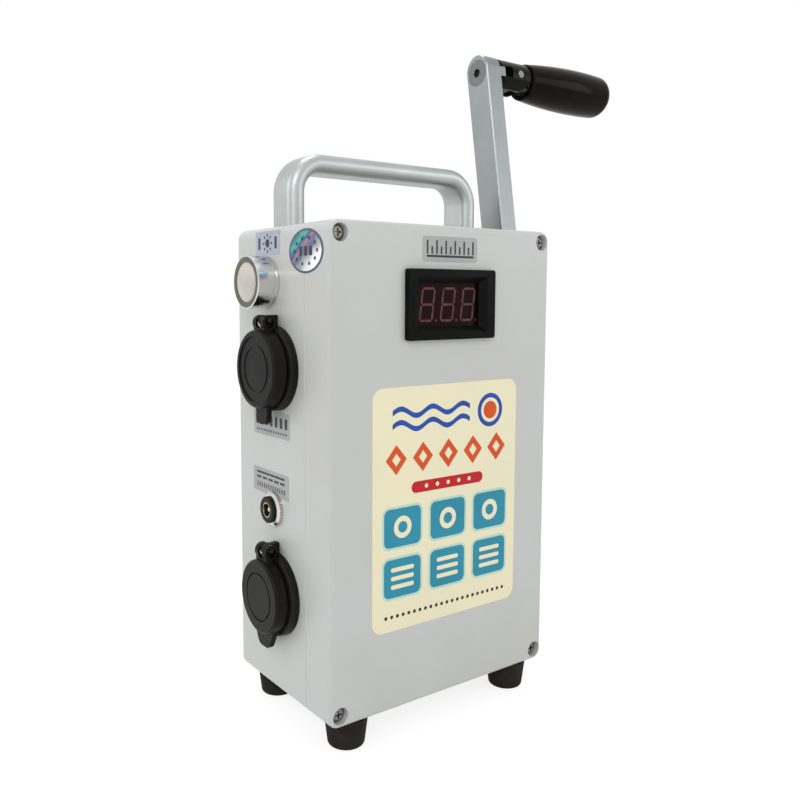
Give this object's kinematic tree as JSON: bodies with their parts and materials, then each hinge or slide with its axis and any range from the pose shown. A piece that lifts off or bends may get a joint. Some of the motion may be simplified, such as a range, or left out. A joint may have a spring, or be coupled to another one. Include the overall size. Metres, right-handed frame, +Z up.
{
  "type": "hand crank generator",
  "caption": "Boxed hand-crank electric generator with a carry handle, fold-away crank grip, capped output sockets, round lamp and digital meter.",
  "frame": {"origin": "middle of the case seen from above, on the plane that the four rubber feet stand on", "axes": "+Z up, -Y out of the front panel with the meter, +X out of the side with the crank, -X out of the side with the sockets"},
  "size_m": [0.2355, 0.0775, 0.3085],
  "materials": {
    "case_plastic": "light grey moulded ABS, satin",
    "seal_rubber": "soft black silicone cord",
    "screw_steel": "zinc-plated steel",
    "foot_rubber": "black rubber, matte",
    "handle_aluminium": "satin clear-anodised aluminium",
    "lamp_anodised": "olive-grey anodised aluminium",
    "lamp_lens": "frosted ivory polycarbonate",
    "circuit_board": "green solder mask on glass fibre",
    "socket_plastic": "black nylon, satin",
    "cap_rubber": "black moulded rubber, soft sheen",
    "nut_nickel": "nickel plate",
    "bezel_plastic": "black ABS, satin",
    "meter_filter": "dark red acrylic filter",
    "display_plastic": "dark display block",
    "arm_aluminium": "satin machined aluminium",
    "shaft_steel": "ground steel",
    "fork_plastic": "black glass-filled nylon",
    "grip_plastic": "glossy black phenolic",
    "gear_nylon": "natural nylon",
    "pinion_brass": "turned brass",
    "plate_aluminium": "plain aluminium",
    "bush_bronze": "oil-filled bronze",
    "can_steel": "nickel-washed drawn steel",
    "magnet_ferrite": "sintered ferrite",
    "rotor_iron": "varnished laminations and copper windings",
    "component_black": "sleeved capacitors, ferrite ring and heat sink"
  },
  "bodies": {
    "case": {"rear_case": "case_plastic", "front_cover": "case_plastic", "cover_seal": "seal_rubber", "cover_screws": "screw_steel", "rubber_feet": "foot_rubber", "foot_screws": "screw_steel", "carry_handle": "handle_aluminium", "handle_washers": "screw_steel", "handle_screws": "screw_steel", "lamp_housing": "lamp_anodised", "lamp_led_board": "circuit_board", "lamp_lens": "lamp_lens", "lamp_nut": "nut_nickel", "usb_socket": "socket_plastic", "usb_ports": "nut_nickel", "usb_socket_nut": "socket_plastic", "power_socket": "socket_plastic", "power_contacts": "nut_nickel", "power_socket_nut": "socket_plastic", "cap_hinge_pins": "screw_steel", "dc_jack": "socket_plastic", "dc_jack_contacts": "nut_nickel", "dc_jack_nut": "nut_nickel", "meter_bezel": "bezel_plastic", "meter_window": "meter_filter", "meter_display": "display_plastic", "shaft_collar": "socket_plastic", "gearbox_inner_plate": "plate_aluminium", "gearbox_outer_plate": "plate_aluminium", "gearbox_spacers": "plate_aluminium", "gearbox_screws": "screw_steel", "gearbox_bushes": "bush_bronze", "generator_can": "can_steel", "generator_screws": "screw_steel", "generator_magnets": "magnet_ferrite", "generator_end_cap": "bezel_plastic", "regulator_board": "circuit_board", "regulator_parts": "component_black", "board_screws": "screw_steel"},
    "crank": {"crank_arm": "arm_aluminium", "crank_shaft": "shaft_steel", "crank_washer": "screw_steel", "crank_screw": "screw_steel", "grip_screw": "screw_steel", "grip_fork": "fork_plastic", "fold_pin": "screw_steel", "drive_gear": "gear_nylon", "drive_gear_pin": "shaft_steel"},
    "spindle": {"grip_spindle": "shaft_steel", "grip_clip": "screw_steel"},
    "sleeve": {"grip_sleeve": "grip_plastic"},
    "intermediate": {"intermediate_gear": "gear_nylon", "intermediate_pinion": "shaft_steel", "intermediate_shaft": "shaft_steel"},
    "rotor": {"generator_pinion": "pinion_brass", "generator_rotor": "rotor_iron", "generator_shaft": "shaft_steel"},
    "upper_cap": {"usb_cap": "cap_rubber"},
    "lower_cap": {"power_cap": "cap_rubber"}
  },
  "joints": [
    {"name": "crank_spin", "type": "hinge", "parent": "case", "child": "crank", "pos_m": [0.06, 0, 0.1625], "axis": [1, 0, 0], "continuous": true},
    {"name": "intermediate_spin", "type": "hinge", "parent": "case", "child": "intermediate", "pos_m": [0.04, 0, 0.1265], "axis": [1, 0, 0], "continuous": true},
    {"name": "rotor_spin", "type": "hinge", "parent": "case", "child": "rotor", "pos_m": [0, 0, 0.0977], "axis": [1, 0, 0], "continuous": true},
    {"name": "grip_fold", "type": "hinge", "parent": "crank", "child": "spindle", "pos_m": [0.0923, 0.02078, 0.2967], "axis": [0, 0.9882, -0.153], "range_deg": [0, 90]},
    {"name": "grip_spin", "type": "hinge", "parent": "spindle", "child": "sleeve", "pos_m": [0.105, 0.02078, 0.2967], "axis": [1, 0, 0], "continuous": true},
    {"name": "usb_cap_hinge", "type": "hinge", "parent": "case", "child": "upper_cap", "pos_m": [-0.0654, 0.003, 0.1735], "axis": [0, 1, 0], "range_deg": [0, 80]},
    {"name": "power_cap_hinge", "type": "hinge", "parent": "case", "child": "lower_cap", "pos_m": [-0.0654, 0.003, 0.0771], "axis": [0, 1, 0], "range_deg": [0, 120]}
  ],
  "couplings": [
    {"joint": "intermediate_spin", "follows": "crank_spin", "ratio": -5},
    {"joint": "rotor_spin", "follows": "crank_spin", "ratio": 25}
  ]
}
